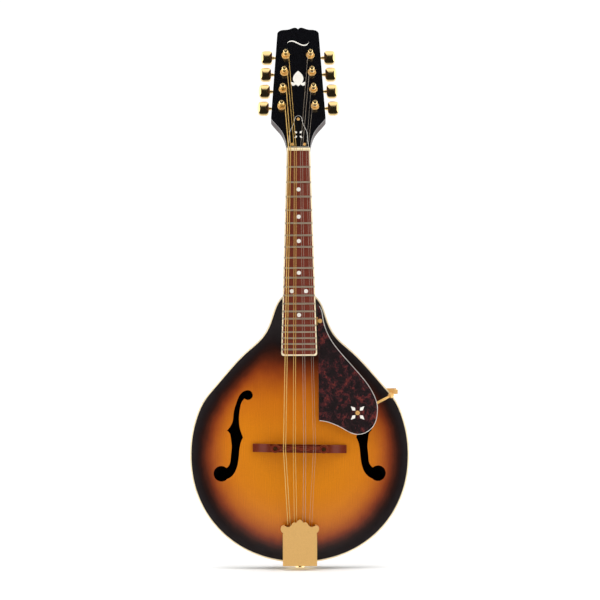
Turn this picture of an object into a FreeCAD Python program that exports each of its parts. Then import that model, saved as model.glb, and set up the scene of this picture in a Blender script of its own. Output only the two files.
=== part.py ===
import FreeCAD
import Part
import os
from math import atan2, cos, exp, pi, radians, sin, tan

# A carved, arched-top mandolin, in millimetres.
# The frame: +X to the right of somebody facing the soundboard, +Y from the soundboard
# towards the back, +Z up the neck. The origin is on the centreline where the strings
# leave the nut. The rim's edges lie in planes of constant Y. The neck leans back from
# them, and the headstock leans back further.

V = FreeCAD.Vector
X_AXIS = V(1, 0, 0)
Y_AXIS = V(0, 1, 0)
Z_AXIS = V(0, 0, 1)
FIT = 0.05                      # radial running clearance of a shaft

# Neck and fretboard
SCALE = 352.4                   # theoretical string length, nut to bridge
FRETS = 20
NECK_LEAN = 5.0                 # degrees, fretboard plane against the rim planes
BOARD_LENGTH = 249.0
NUT_WIDTH = 28.6
BOARD_END_WIDTH = 43.3
BOARD_THICK = 5.5
BINDING = 1.6
NUT_THICK = 3.6
NECK_DEPTH = 15.0               # wood behind the fretboard, at the nut
DOT_RADIUS = 2.5

# Headstock
HEAD_LEAN = 21.0                # degrees, headstock face against the rim planes
HEAD_DROP = 1.6                 # face below the fretboard plane where it starts
OVERLAY = 1.5
HEAD_THICK = 16.5
COVER_THICK = 1.5               # truss-rod cover
COVER_PLY = 0.6                 # its pale lower layer
COVER_EDGE = 0.6                # pale ply left showing outside the black layer
POST_ROWS = 4
POST_FIRST = 55.3               # from the nut to the first pair of posts, along the face
POST_PITCH = 23.0
POST_HALF_FIRST = 20.35         # half the distance between the first pair
POST_HALF_STEP = -1.72

# Tuning machines
GEAR_TEETH = 15
GEAR_PITCH_R = 4.6
WORM_PITCH_R = 2.0
WORM_N = -20.5                  # worm axis, measured from the headstock face
WORM_CORE_R = 1.4
WORM_TURNS = 4
WORM_PHASE = 180                # degrees
SHAFT_R = 1.6
POST_R = 2.9
PLATE_SHEET = 1.2

# Body
LOWER_HALF_WIDTH = 132.7
LOWER_HALF_HEIGHT = 130.3
LOWER_CENTRE = -368.5
LOWER_POWER = 2.10              # 2 would be a true ellipse
EDGE_FRONT = -4.0               # soundboard edge
EDGE_BACK = 41.0                # back plate edge
EDGE_THICK = 5.0
TOP_ARCH = 14.5
BACK_ARCH = 13.0
PLATE_THICK = 4.5
RIM_THICK = 2.2
LINING = 6.0
BODY_BINDING = 1.7
SHOULDER = ((12, -172.8), (19.3, -176), (25.5, -183), (32, -198), (36.9, -212),
            (46.4, -227), (61.8, -241), (83.6, -263), (102.5, -285))

# Bridge
BRIDGE_Z = -359.8
FOOT_HALF = 56.5
FOOT_DEEP = 9.8
FOOT_TOP = -25.6
WHEEL_HALF = 29.2
WHEEL_R = 5.4
WHEEL_THICK = 2.6
SADDLE_HALF = 37.0
SADDLE_TOP = -35.9
SADDLE_THICK = 6.4
BOSS_R = 4.9                    # round each stud, at the saddle's ends
BOSS_TOP = -33.4
STUD_R = 2.0
BRIDGE_SLANT = 1.0              # degrees, bass end nearer the nut

# Strings, bass to treble: pair, radius, x at the nut, at the bridge and at the tail,
# side and row of the post
STRINGS = (
    ("g", 0.51, -11.7, -19.3, -13.6, -1, 0), ("g", 0.51, -9.4, -16.7, -10.6, -1, 1),
    ("d", 0.33, -4.9, -7.6, -6.4, -1, 2), ("d", 0.33, -2.6, -5.0, -3.4, -1, 3),
    ("a", 0.19, 2.4, 4.9, 3.4, 1, 3), ("a", 0.19, 4.9, 7.5, 6.4, 1, 2),
    ("e", 0.14, 9.5, 16.7, 10.6, 1, 1), ("e", 0.14, 11.7, 19.3, 13.6, 1, 0),
)
# Each pair crosses a step of the saddle's crown: from x, to x, and how far it is set back
CROWN_STEPS = ((-24.0, -12.1, 0.9), (-12.1, 0.0, -0.3), (0.0, 12.1, 0.6), (12.1, 24.0, -0.6))
STRING_NUT_Y = -1.75            # string axis above the fretboard plane at the nut
WAIST_R = 2.45                  # of a post, where the string is wound

# Tailpiece
COVER_TOP = -445.2
COVER_BOTTOM = -501.9
COVER_HALF = 20.6
COVER_FRONT = -23.2             # its face, at its top
COVER_LEAN = 4.6                # degrees, its face slopes down to the rim
SHEET = 1.1
TAIL_EDGE = -499.2

# Pickguard
GUARD_TOP = 4.2                 # below the fretboard plane
GUARD_THICK = 1.8
GUARD_PLY = 0.8
GUARD_EDGE = 0.7                # pale ply left showing outside the upper layer
GUARD_INNER = 24.3              # beside the strings the two layers are flush
CLAMP_X = 116.2
CLAMP_Z = -292.4
COLLAR = (110.6, -14.6, -296.4)  # middle of the nut on the bracket's rod


def save(node, *shapes):
    """Write one named piece, given as one or several solids."""
    shape = shapes[0] if len(shapes) == 1 else Part.makeCompound(list(shapes))
    shape.exportStep("parts/" + node + ".step")


def box(low, high):
    """A block between two opposite corners."""
    return Part.makeBox(high[0] - low[0], high[1] - low[1], high[2] - low[2], V(*low))


def rod(radius, start, end):
    """A round bar from one point to another."""
    start, end = V(*start), V(*end)
    return Part.makeCylinder(radius, (end - start).Length, start, end - start)


def slab(points, y_front, y_back):
    """A flat plate with a straight-sided outline of (x, z) points."""
    corners = [V(x, y_front, z) for x, z in points]
    wire = Part.makePolygon(corners + corners[:1])
    return Part.Face(wire).extrude(V(0, y_back - y_front, 0))


def curved_slab(stretches, y_front, y_back):
    """A flat plate whose outline is a ring of smooth stretches of (x, z) points."""
    edges = []
    for stretch in stretches:
        points = [V(x, y_front, z) for x, z in stretch]
        if len(points) == 2:
            edges.append(Part.makeLine(*points))
        else:
            curve = Part.BSplineCurve()
            curve.interpolate(points)
            edges.append(curve.toShape())
    return Part.Face(Part.Wire(edges)).extrude(V(0, y_back - y_front, 0))


def inset_slab(stretches, inset, y_front, y_back):
    """A plate like curved_slab's, drawn in by an even margin all round."""
    whole = curved_slab(stretches, 0, 1)
    flat = [face for face in whole.Faces if face.BoundBox.YMax < 1e-6][0]
    rim = flat.makeOffset2D(-inset).OuterWire.discretize(160)
    return slab([(point.x, point.z) for point in rim[:-1]], y_front, y_back)


def mirrored(stretches):
    """The stretches given for the right half, joined to their mirror image."""
    left = [[(-x, z) for x, z in reversed(stretch)] for stretch in reversed(stretches)]
    return list(stretches) + left


def with_board(shape):
    """Turn a piece drawn upright at the nut into the fretboard's leaning frame."""
    placed = shape.copy()
    placed.rotate(V(0, 0, 0), X_AXIS, -NECK_LEAN)
    return placed


def with_head(shape):
    """Turn a piece drawn upright (y = depth, z = distance up the face) onto the headstock."""
    placed = shape.copy()
    placed.rotate(V(0, 0, 0), X_AXIS, -HEAD_LEAN)
    placed.translate(V(0, HEAD_DROP, NUT_THICK))
    return placed


def head_point(x, depth, along):
    """Where a point of the headstock's own frame lies in the instrument's frame."""
    lean = radians(HEAD_LEAN)
    return V(x, HEAD_DROP + depth * cos(lean) + along * sin(lean),
             NUT_THICK - depth * sin(lean) + along * cos(lean))


def board_half(distance):
    """Half the fretboard's width at a distance from the nut."""
    return (NUT_WIDTH + (BOARD_END_WIDTH - NUT_WIDTH) * distance / BOARD_LENGTH) / 2


# ---------------------------------------------------------------- body outline and arch

def outline_points():
    """The right half from the neck down the shoulder, then round the lower bout."""
    points = [V(0, 0, -171.5)] + [V(x, 0, z) for x, z in SHOULDER]
    start = atan2((SHOULDER[-1][1] - LOWER_CENTRE) / LOWER_HALF_HEIGHT,
                  SHOULDER[-1][0] / LOWER_HALF_WIDTH)
    steps = 13
    for i in range(1, steps + 1):
        angle = start - (start + pi / 2) * i / steps
        share = (abs(cos(angle)) ** LOWER_POWER + abs(sin(angle)) ** LOWER_POWER) ** (-1 / LOWER_POWER)
        points.append(V(LOWER_HALF_WIDTH * share * cos(angle), 0,
                        LOWER_CENTRE + LOWER_HALF_HEIGHT * share * sin(angle)))
    left = [V(-p.x, 0, p.z) for p in reversed(points[1:-1])]
    return points + left


def body_curve(inset):
    """The closed outline, moved inwards by inset."""
    curve = Part.BSplineCurve()
    curve.interpolate(Points=outline_points(), PeriodicFlag=True)
    if inset == 0:
        return curve
    count = 72
    moved = []
    for i in range(count):
        place = curve.FirstParameter + (curve.LastParameter - curve.FirstParameter) * i / count
        tangent = V(*curve.tangent(place)[0])
        moved.append(curve.value(place) + Y_AXIS.cross(tangent) * inset)
    inner = Part.BSplineCurve()
    inner.interpolate(Points=moved, PeriodicFlag=True)
    return inner


def body_prism(inset, y_front, y_back):
    """Everything within the outline, between two planes."""
    wire = Part.Wire(body_curve(inset).toShape())
    wire.translate(V(0, y_front, 0))
    return Part.Face(wire).extrude(V(0, y_back - y_front, 0))


def body_ring(outer_inset, inner_inset, y_front, y_back):
    """A band that follows the outline."""
    return body_prism(outer_inset, y_front, y_back).cut(
        body_prism(inner_inset, y_front - 1, y_back + 1))


def half_width(z):
    """Half the body's width in the shoulders, between the outline's own points."""
    points = ((0, -171.5),) + SHOULDER
    for (x_0, z_0), (x_1, z_1) in zip(points, points[1:]):
        if z >= z_1:
            return x_0 + (x_1 - x_0) * (z_0 - z) / (z_0 - z_1)
    return SHOULDER[-1][0]


def arch_share(x, z):
    """The arch's height as a share of its full height: 0 at the edge, 1 at the centre."""
    along = (z - LOWER_CENTRE) / LOWER_HALF_HEIGHT
    if z <= SHOULDER[-1][1]:
        rise = 1 - along ** 2 - (x / LOWER_HALF_WIDTH) ** 2
    else:
        ridge = 0.30 + 0.2875 * exp((SHOULDER[-1][1] - z) / 29.1)
        rise = ridge * (1 - (x / max(half_width(z) - 2, 1)) ** 2)
    rise = max(rise, 0)
    return rise ** 2 * (3 - 2 * rise)


def behind_arch(edge, height, depth):
    """The solid that lies behind an arched surface, as deep as depth."""
    rows = []
    for i in range(37):
        z = -512 + 10 * i
        rows.append([V(-150 + 10 * j, edge + height * arch_share(-150 + 10 * j, z), z)
                     for j in range(31)])
    surface = Part.BSplineSurface()
    surface.interpolate(rows)
    return surface.toShape().extrude(V(0, depth, 0))


# ---------------------------------------------------------------- body

def f_hole_wires():
    """One f-hole, on the bass side, as a curled slot with two pointed wings."""
    return [
        [(-62.1, -289.8), (-68.9, -292.2), (-73.5, -298.2), (-76.6, -306.4), (-79.4, -316.3),
         (-81.0, -328.2), (-83.6, -333.4), (-87.6, -338.4)],
        [(-87.6, -338.4), (-84.4, -341.6), (-82.9, -348.1), (-81.9, -357.2), (-82.9, -368.2),
         (-84.7, -379.5), (-89.0, -384.0)],
        [(-89.0, -384.0), (-90.5, -397.6)],
        [(-90.5, -397.6), (-82.4, -393.8), (-77.0, -386.3), (-74.5, -378.1), (-73.2, -368.1),
         (-72.3, -359.0), (-70.6, -351.8), (-68.2, -346.7)],
        [(-68.2, -346.7), (-70.0, -341.8), (-72.0, -335.4), (-72.9, -328.1), (-72.9, -320.8),
         (-72.1, -313.5), (-70.3, -305.5), (-66.0, -299.6)],
        [(-66.0, -299.6), (-62.1, -289.8)],
    ]


def f_hole(side):
    """One f-hole as a plug through the plate, on the bass (-1) or treble (1) side."""
    y_front, y_back = -30, 10
    plug = curved_slab(f_hole_wires(), y_front, y_back)
    for x, z, radius in ((-62.1, -295.6, 5.8), (-94.6, -390.6, 9.4)):
        plug = plug.fuse(Part.makeCylinder(radius, y_back - y_front, V(x, y_front, z), Y_AXIS))
    if side > 0:
        plug = plug.mirror(V(0, 0, 0), X_AXIS)
    return plug


def make_body(tenon, tail_fasteners):
    """Plates, sides, linings, blocks, bars and binding."""
    glue_front = EDGE_FRONT + EDGE_THICK
    glue_back = EDGE_BACK - EDGE_THICK
    front_solid = behind_arch(EDGE_FRONT, -TOP_ARCH, 60)
    front_inside = front_solid.translated(V(0, PLATE_THICK, 0))
    hollow = body_prism(9, EDGE_FRONT - TOP_ARCH - 5, glue_front + 1).common(front_inside)
    soundboard = body_prism(BODY_BINDING, EDGE_FRONT - TOP_ARCH - 5, glue_front)
    soundboard = soundboard.common(front_solid).cut(hollow)
    for side in (-1, 1):
        soundboard = soundboard.cut(f_hole(side))
    save("soundboard", soundboard)

    back_solid = behind_arch(EDGE_BACK, BACK_ARCH, -60)
    back_inside = back_solid.translated(V(0, -PLATE_THICK, 0))
    back_hollow = body_prism(9, glue_back - 1, EDGE_BACK + BACK_ARCH + 5).common(back_inside)
    back = body_prism(BODY_BINDING, glue_back, EDGE_BACK + BACK_ARCH + 5).common(back_solid)
    save("back_plate", back.cut(back_hollow))

    save("body_binding", body_ring(0, BODY_BINDING, EDGE_FRONT, glue_front),
         body_ring(0, BODY_BINDING, glue_back, EDGE_BACK))
    rim = body_ring(0, RIM_THICK, glue_front, glue_back)
    save("rim", rim.cut(tenon).cut(tail_fasteners))

    inside = body_prism(RIM_THICK, glue_front, glue_back)
    neck_room = box((-27, glue_front, -212), (27, glue_back, -170))
    tail_room = box((-24, glue_front, -500), (24, glue_back, -478))
    save("neck_block", inside.common(neck_room).cut(tenon))
    save("tail_block", inside.common(tail_room).cut(tail_fasteners))
    linings = []
    for y_front, y_back in ((glue_front, glue_front + 7), (glue_back - 7, glue_back)):
        lining = body_ring(RIM_THICK, RIM_THICK + LINING, y_front, y_back)
        linings.append(lining.cut(neck_room).cut(tail_room))
    save("kerfed_linings", *linings)

    bars = []
    for side in (-1, 1):
        bar = box((-3, -30, -462), (3, 2.5, -228))
        bar.rotate(V(0, 0, -345), Y_AXIS, side * 3.5)
        bar.translate(V(side * 24, 0, 0))
        bars.append(bar.common(front_inside))
    save("tone_bars", *bars)
    return front_solid


# ---------------------------------------------------------------- neck

def neck_section(distance, depth):
    """The neck's outline across: flat under the fretboard and round behind."""
    half = board_half(max(distance, 0)) - 0.2
    count = 12
    points = [V(half * cos(pi * i / count), BOARD_THICK + depth * sin(pi * i / count) ** 0.92,
                -distance)
              for i in range(count + 1)]
    curve = Part.BSplineCurve()
    curve.interpolate(points)
    return Part.Wire([curve.toShape(), Part.makeLine(points[-1], points[0])])


def make_neck(front_solid, screws):
    """Neck, heel, tenon, raised extension, headstock core and heel cap."""
    heel_start, heel_end, heel_depth = 118.0, 163.0, 62.0
    sections = [neck_section(-12, NECK_DEPTH)]
    for distance in (0, 40, 80, heel_start, 130, 140, 149, 156, heel_end, 172, 184):
        depth = NECK_DEPTH + 2.0 * min(distance, heel_start) / heel_start
        if distance > heel_start:
            depth += (heel_depth - depth) * ((distance - heel_start) / (heel_end - heel_start)) ** 3
        sections.append(neck_section(distance, min(depth, heel_depth)))
    shaft = with_board(Part.makeLoft(sections, True, False))
    shaft = shaft.cut(body_prism(0, -40, 90))

    cap_thick = 3.0
    heel_tip = box((-60, EDGE_BACK - cap_thick, -200), (60, 120, -100))
    cap_room = box((-60, EDGE_BACK - cap_thick, -200), (60, EDGE_BACK, -100))
    save("heel_cap", shaft.common(cap_room))
    shaft = shaft.cut(heel_tip)

    far, near = BOARD_LENGTH - 3.5, 160.0
    riser = with_board(slab([(board_half(near) - 2, -near), (board_half(far) - 2, -far),
                             (2 - board_half(far), -far), (2 - board_half(near), -near)],
                            BOARD_THICK, BOARD_THICK + 14))
    riser = riser.cut(front_solid.translated(V(0, -0.3, 0)))
    riser = riser.common(box((-60, -40, -300), (60, EDGE_FRONT - 0.2, -100)))

    wood = curved_slab(head_outline(), OVERLAY, HEAD_THICK)
    head = with_head(wood.cut(Part.makeCompound(head_bores())))
    neck = shaft.fuse([head, riser, tenon_block()])
    neck = neck.cut([nut_blank(), truss_pocket(), truss_channel()]).cut(screws)
    save("neck", neck.removeSplitter())


def tenon_block():
    """The tongue that the neck sends into its block."""
    return box((-10, 2, -190), (10, 34, -170))


def truss_channel():
    """The bore for the truss rod."""
    return with_board(rod(2.5, (0, 9, 14), (0, 9, -166)))


def truss_pocket():
    """The pocket in the headstock where the truss rod's nut is reached."""
    return with_head(box((-4.7, -2, 5), (4.7, 10.6, 26)))


def make_truss_rod():
    """Steel rod, its brass nut and the washer face that the nut bears on."""
    save("truss_rod", with_board(rod(2.4, (0, 9, -165), (0, 9, 19.5))))
    nut = Part.makeCylinder(3.4, 7, V(0, 9, 10.4)).cut(rod(2.4 + FIT, (0, 9, 0), (0, 9, 30)))
    slot = box((-5, 8.2, 15.6), (5, 9.8, 18))
    save("truss_rod_nut", with_board(nut.cut(slot)))


def nut_blank():
    """The block that the nut is shaped from."""
    half = NUT_WIDTH / 2
    return box((-half, -2.1, 0), (half, BOARD_THICK, NUT_THICK))


def make_nut():
    """The nut, rounded towards the headstock, with an open slot for each string."""
    half, play = NUT_WIDTH / 2, 0.05
    side = [(-2.1, 0), (-2.1, 1.6), (-1.0, NUT_THICK), (BOARD_THICK, NUT_THICK), (BOARD_THICK, 0)]
    corners = [V(-half, y, z) for y, z in side]
    nut = Part.Face(Part.makePolygon(corners + corners[:1])).extrude(V(2 * half, 0, 0))
    for string in STRINGS:
        radius = string[1] + play
        start, crossing, saddle, _ = string_path(string)
        low, high = crossing.x - radius, crossing.x + radius
        nut = nut.cut([rod(radius, start, crossing), rod(radius, crossing, saddle),
                       Part.makeSphere(radius, crossing),
                       box((low, -4, -1), (high, STRING_NUT_Y, NUT_THICK + 1))])
    save("nut", max(nut.Solids, key=lambda solid: solid.Volume))


def fret_distance(number):
    """Each fret shortens the string by the twelfth root of two."""
    return SCALE * (1 - 2 ** (-number / 12))


def make_fretboard():
    """Fretboard, binding, frets and position dots."""
    end = BOARD_LENGTH
    top, bottom = 0.0, BOARD_THICK
    corner = 3.0
    outer_end = board_half(end)

    def outline(inset):
        """A taper with rounded corners at its wide end."""
        length = end - inset
        right = outer_end - inset
        return [
            [(board_half(0) - inset, 0), (right, -length + corner)],
            [(right, -length + corner), (right - 0.3 * corner, -length + 0.3 * corner),
             (right - corner, -length)],
            [(right - corner, -length), (corner - right, -length)],
            [(corner - right, -length), (0.3 * corner - right, -length + 0.3 * corner),
             (-right, -length + corner)],
            [(-right, -length + corner), (inset - board_half(0), 0)],
            [(inset - board_half(0), 0), (board_half(0) - inset, 0)],
        ]

    board = curved_slab(outline(BINDING), top, bottom)
    whole = curved_slab(outline(0), top, bottom)
    frets, slots = [], []
    for number in range(1, FRETS + 1):
        distance = fret_distance(number)
        half = board_half(distance) - 0.35
        tang_half = half - BINDING
        crown = Part.makeCylinder(1.15, 2 * half, V(-half, 0.15, -distance), X_AXIS)
        crown = crown.common(box((-half, -1.1, -distance - 0.95), (half, 0, -distance + 0.95)))
        tang = box((-tang_half, 0, -distance - 0.3), (tang_half, 1.8, -distance + 0.3))
        frets.append(crown.fuse(tang).removeSplitter())
        slots.append(tang)
    dots = []
    for number in (3, 5, 7, 10, 12, 15):
        middle = -(fret_distance(number) + fret_distance(number - 1)) / 2
        for x in ((-8.5, 8.5) if number == 12 else (0,)):
            dots.append(Part.makeCylinder(DOT_RADIUS, 1.5, V(x, top, middle), Y_AXIS))
    binding = whole.cut(board)
    board = board.cut(slots + dots)
    save("fretboard", with_board(board))
    save("fretboard_binding", with_board(binding))
    save("frets", *[with_board(fret) for fret in frets])
    save("position_markers", *[with_board(dot) for dot in dots])


# ---------------------------------------------------------------- headstock

def head_outline():
    """Narrow at the nut, flaring to square shoulders, then tapering to a scalloped top."""
    return mirrored([
        [(0, 0), (14.3, 0)],
        [(14.3, 0), (15.3, 8.1), (16.6, 13.4), (18.5, 18.7), (21.4, 24.1), (25.8, 29.8),
         (33.3, 39.5)],
        [(33.3, 39.5), (25.6, 154.4)],
        [(25.6, 154.4), (23.4, 157.6), (19.0, 159.3), (13.0, 159.8), (8.4, 161.2), (4.2, 162.5),
         (0, 160.3)],
    ])


def post_half(row):
    """Half the distance between the two posts of a row."""
    return POST_HALF_FIRST + POST_HALF_STEP * row


def head_bores():
    """A bore for each post, wider at the front for its bushing."""
    bores = []
    for side in (-1, 1):
        for row in range(POST_ROWS):
            x, z = side * post_half(row), POST_FIRST + POST_PITCH * row
            bores.append(Part.makeCylinder(3.5, 24, V(x, -3, z), Y_AXIS))
            bores.append(Part.makeCylinder(4.4, 11, V(x, -3, z), Y_AXIS))
    return bores


def slotted_screw(radius, head, shank_radius, shank, x, y, z):
    """A screw that goes in along +Y, with its head's underside at y."""
    screw = Part.makeCylinder(radius, head, V(x, y - head, z), Y_AXIS)
    screw = screw.fuse(Part.makeCylinder(shank_radius, shank, V(x, y, z), Y_AXIS))
    return screw.cut(box((x - radius, y - head - 1, z - 0.3), (x + radius, y - head + 0.5, z + 0.3)))


def cover_screws():
    """Three screws that hold the truss-rod cover."""
    return [with_head(slotted_screw(1.8, 0.7, 0.9, 8.0, x, -COVER_THICK, z))
            for x, z in ((0, 37.4), (-7.4, 3.8), (7.4, 3.8))]


def make_headstock_face(screws):
    """Black headplate, pearl inlay and the two layers of the truss-rod cover."""
    overlay = curved_slab(head_outline(), 0, OVERLAY).cut(Part.makeCompound(head_bores()))
    inlay_depth = 0.6
    leaf = curved_slab(mirrored([[(0, 82.5), (6.4, 92.0), (0, 103.5)]]), 0, inlay_depth)
    petals = []
    for side in (-1, 1):
        petal = curved_slab([[(side * 1.6, 86.0), (side * 7.2, 83.4), (side * 8.6, 88.6)],
                             [(side * 8.6, 88.6), (side * 1.6, 86.0)]], 0, inlay_depth)
        petals.append(petal.cut(leaf))
    vine = curved_slab([[(-14, 141.0), (-6, 144.6), (0, 141.8), (6, 139.2), (14, 143.0)],
                        [(14, 143.0), (6, 137.6), (0, 140.2), (-6, 143.0), (-14, 141.0)]],
                       0, inlay_depth)
    inlays = [leaf, *petals, vine]
    overlay = with_head(overlay.cut(inlays)).cut([nut_blank(), truss_pocket()])
    save("headstock_overlay", overlay.cut(screws))
    save("headstock_inlay", *[with_head(inlay) for inlay in inlays])

    bell = [[(0, 0.6), (13.0, 0.6)],
            [(13.0, 0.6), (12.1, 6.0), (11.5, 12.0), (11.1, 18.0), (9.0, 25.0), (6.0, 31.5),
             (4.9, 36.6), (3.5, 41.0), (0, 42.8)]]
    ply = curved_slab(mirrored(bell), -COVER_PLY, 0)
    cover = inset_slab(mirrored(bell), COVER_EDGE, -COVER_THICK, -COVER_PLY)
    save("truss_cover_ply", with_head(ply).cut(screws))
    save("truss_rod_cover", with_head(cover).cut(screws))


# ---------------------------------------------------------------- tuning machines

def worm_height():
    """The worm lies this far above its post."""
    return GEAR_PITCH_R + WORM_PITCH_R


def plate_screws():
    """Five screws for each tuner plate, between its machines."""
    screws = []
    face = HEAD_THICK + PLATE_SHEET
    for side in (-1, 1):
        for row, shift in ((-1, 15.0), (0, 14.0), (1, 14.0), (2, 14.0), (3, 14.0)):
            x = side * (post_half(row + shift / POST_PITCH) + 2.5)
            z = POST_FIRST + POST_PITCH * row + shift
            head = Part.makeCylinder(2.1, 0.9, V(x, face, z), Y_AXIS)
            screws.append(with_head(head.fuse(Part.makeCylinder(0.9, 9, V(x, face - 8.9, z), Y_AXIS))))
    return screws


def make_tuner_plates(screws):
    """A slanted plate for each side, with two bearing ears for every worm."""
    for side, word in ((-1, "bass"), (1, "treble")):
        half = 8.4
        low_z, high_z = POST_FIRST - 11, POST_FIRST + POST_PITCH * (POST_ROWS - 1) + 17.5
        low_x = side * post_half((low_z - POST_FIRST) / POST_PITCH)
        high_x = side * post_half((high_z - POST_FIRST) / POST_PITCH)
        plate = slab([(low_x - half, low_z), (low_x + half, low_z), (high_x + half, high_z),
                      (high_x - half, high_z)], HEAD_THICK, HEAD_THICK + PLATE_SHEET)
        for row in range(POST_ROWS):
            x, z = side * post_half(row), POST_FIRST + POST_PITCH * row
            worm_z = z + worm_height()
            for ear_x in (x - 5.5, x + 5.5):
                plate = plate.fuse(box((ear_x - 0.9, HEAD_THICK + 0.2, worm_z - 2.4),
                                       (ear_x + 0.9, -WORM_N + 2.4, worm_z + 2.4)))
            plate = plate.cut(rod(SHAFT_R + FIT, (x - 9, -WORM_N, worm_z), (x + 9, -WORM_N, worm_z)))
            plate = plate.cut(Part.makeCylinder(POST_R + FIT, 4, V(x, HEAD_THICK - 1, z), Y_AXIS))
        save("tuner_plate_" + word, with_head(plate.removeSplitter()).cut(screws))


def make_bushings():
    """A flanged bushing at the front of every post."""
    bushings = []
    for side in (-1, 1):
        for row in range(POST_ROWS):
            x, z = side * post_half(row), POST_FIRST + POST_PITCH * row
            flange = Part.makeCylinder(5.0, 1.3, V(x, -1.3, z), Y_AXIS)
            bushing = flange.fuse(Part.makeCylinder(4.4, 8.0, V(x, -0.1, z), Y_AXIS))
            bore = Part.makeCylinder(POST_R + FIT, 14, V(x, -3, z), Y_AXIS)
            bushings.append(with_head(bushing.cut(bore)))
    save("tuner_bushings", *bushings)


def worm_pitch():
    """The thread advances one tooth of the gear for each turn."""
    return 2 * pi * GEAR_PITCH_R / GEAR_TEETH


def worm_thread():
    """A right-handed thread on the X axis, placed so that a gear tooth lies in its groove."""
    tip_r, root_half, tip_half = 2.45, 0.44, 0.26
    inner_r = WORM_CORE_R - 0.2
    length = worm_pitch() * WORM_TURNS
    helix = Part.makeHelix(worm_pitch(), length, WORM_CORE_R)
    profile = Part.makePolygon([V(inner_r, 0, -root_half), V(tip_r, 0, -tip_half),
                                V(tip_r, 0, tip_half), V(inner_r, 0, root_half),
                                V(inner_r, 0, -root_half)])
    thread = Part.Wire(helix).makePipeShell([profile], True, True)
    thread.translate(V(0, 0, -length / 2))
    thread.rotate(V(0, 0, 0), Y_AXIS, 90)
    thread.rotate(V(0, 0, 0), X_AXIS, WORM_PHASE)
    return thread


def gear():
    """A thin wheel in the XZ plane with straight-sided teeth, one of them pointing along +Z."""
    root_r, tip_r, thick = 3.85, 5.0, 2.0
    tooth = 2 * pi / GEAR_TEETH
    points = []
    for i in range(GEAR_TEETH):
        middle = pi / 2 + i * tooth
        for radius, share in ((root_r, -0.27), (tip_r, -0.11), (tip_r, 0.11), (root_r, 0.27)):
            angle = middle + share * tooth
            points.append((radius * cos(angle), radius * sin(angle)))
    return slab(points, -WORM_N - thick / 2, -WORM_N + thick / 2)


def button(side):
    """A squared knob with a rounded outer end. Its outline, its section round the shaft and
    its section along the shaft are three bars, and the knob is what they have in common."""
    half_height, length, half_thick = 8.9, 13.8, 4.2
    outline = [
        [(0, -4.2), (0, 4.2)],
        [(0, 4.2), (1.3, 7.4), (3.6, 8.8), (6.8, half_height), (10.2, 8.4), (12.8, 5.8),
         (length, 0), (12.8, -5.8), (10.2, -8.4), (6.8, -half_height), (3.6, -8.8), (1.3, -7.4),
         (0, -4.2)],
    ]
    lengthwise = [
        [(-0.1, -2.6), (-0.1, 2.6)],
        [(-0.1, 2.6), (1.8, 3.7), (4.8, 4.3), (9.0, 4.2), (12.4, 3.0), (length + 0.1, 0),
         (12.4, -3.0), (9.0, -4.2), (4.8, -4.3), (1.8, -3.7), (-0.1, -2.6)],
    ]
    across = Part.Ellipse(V(0, 0, half_height + 0.6), V(0, half_thick, 0), V(0, 0, 0))
    across = Part.Face(Part.Wire(across.toShape())).extrude(V(length + 2, 0, 0))
    along = curved_slab(lengthwise, -half_height - 1, half_height + 1)
    along.rotate(V(0, 0, 0), X_AXIS, 90)
    knob = curved_slab(outline, -half_thick - 1, half_thick + 1).common(across).common(along)
    if side < 0:
        knob = knob.mirror(V(0, 0, 0), X_AXIS)
    return knob


def post(x, z):
    """A string post with a waist, a string hole and a shouldered lower end for its gear."""
    profile = [(0, 24.4), (1.9, 24.4), (1.9, -WORM_N - 1.0), (POST_R, -WORM_N - 1.0), (POST_R, -4.6),
               (WAIST_R, -5.2), (WAIST_R, -10.4), (POST_R, -11.0), (POST_R, -12.3), (2.2, -13.2),
               (0, -13.4)]
    corners = [V(radius, depth, 0) for radius, depth in profile]
    solid = Part.Face(Part.makePolygon(corners + corners[:1])).revolve(V(0, 0, 0), Y_AXIS, 360)
    solid = solid.cut(rod(0.7, (-5, -8.0, 0), (5, -8.0, 0)))
    solid.translate(V(x, 0, z))
    return solid


def winding(x, z, radius):
    """The turns of string round a post."""
    height = max(2.4, 8 * radius)
    outer = Part.makeCylinder(WAIST_R + 2 * radius, height, V(x, -7.8 - height / 2, z), Y_AXIS)
    return outer.cut(Part.makeCylinder(WAIST_R, 8, V(x, -12, z), Y_AXIS))


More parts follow.
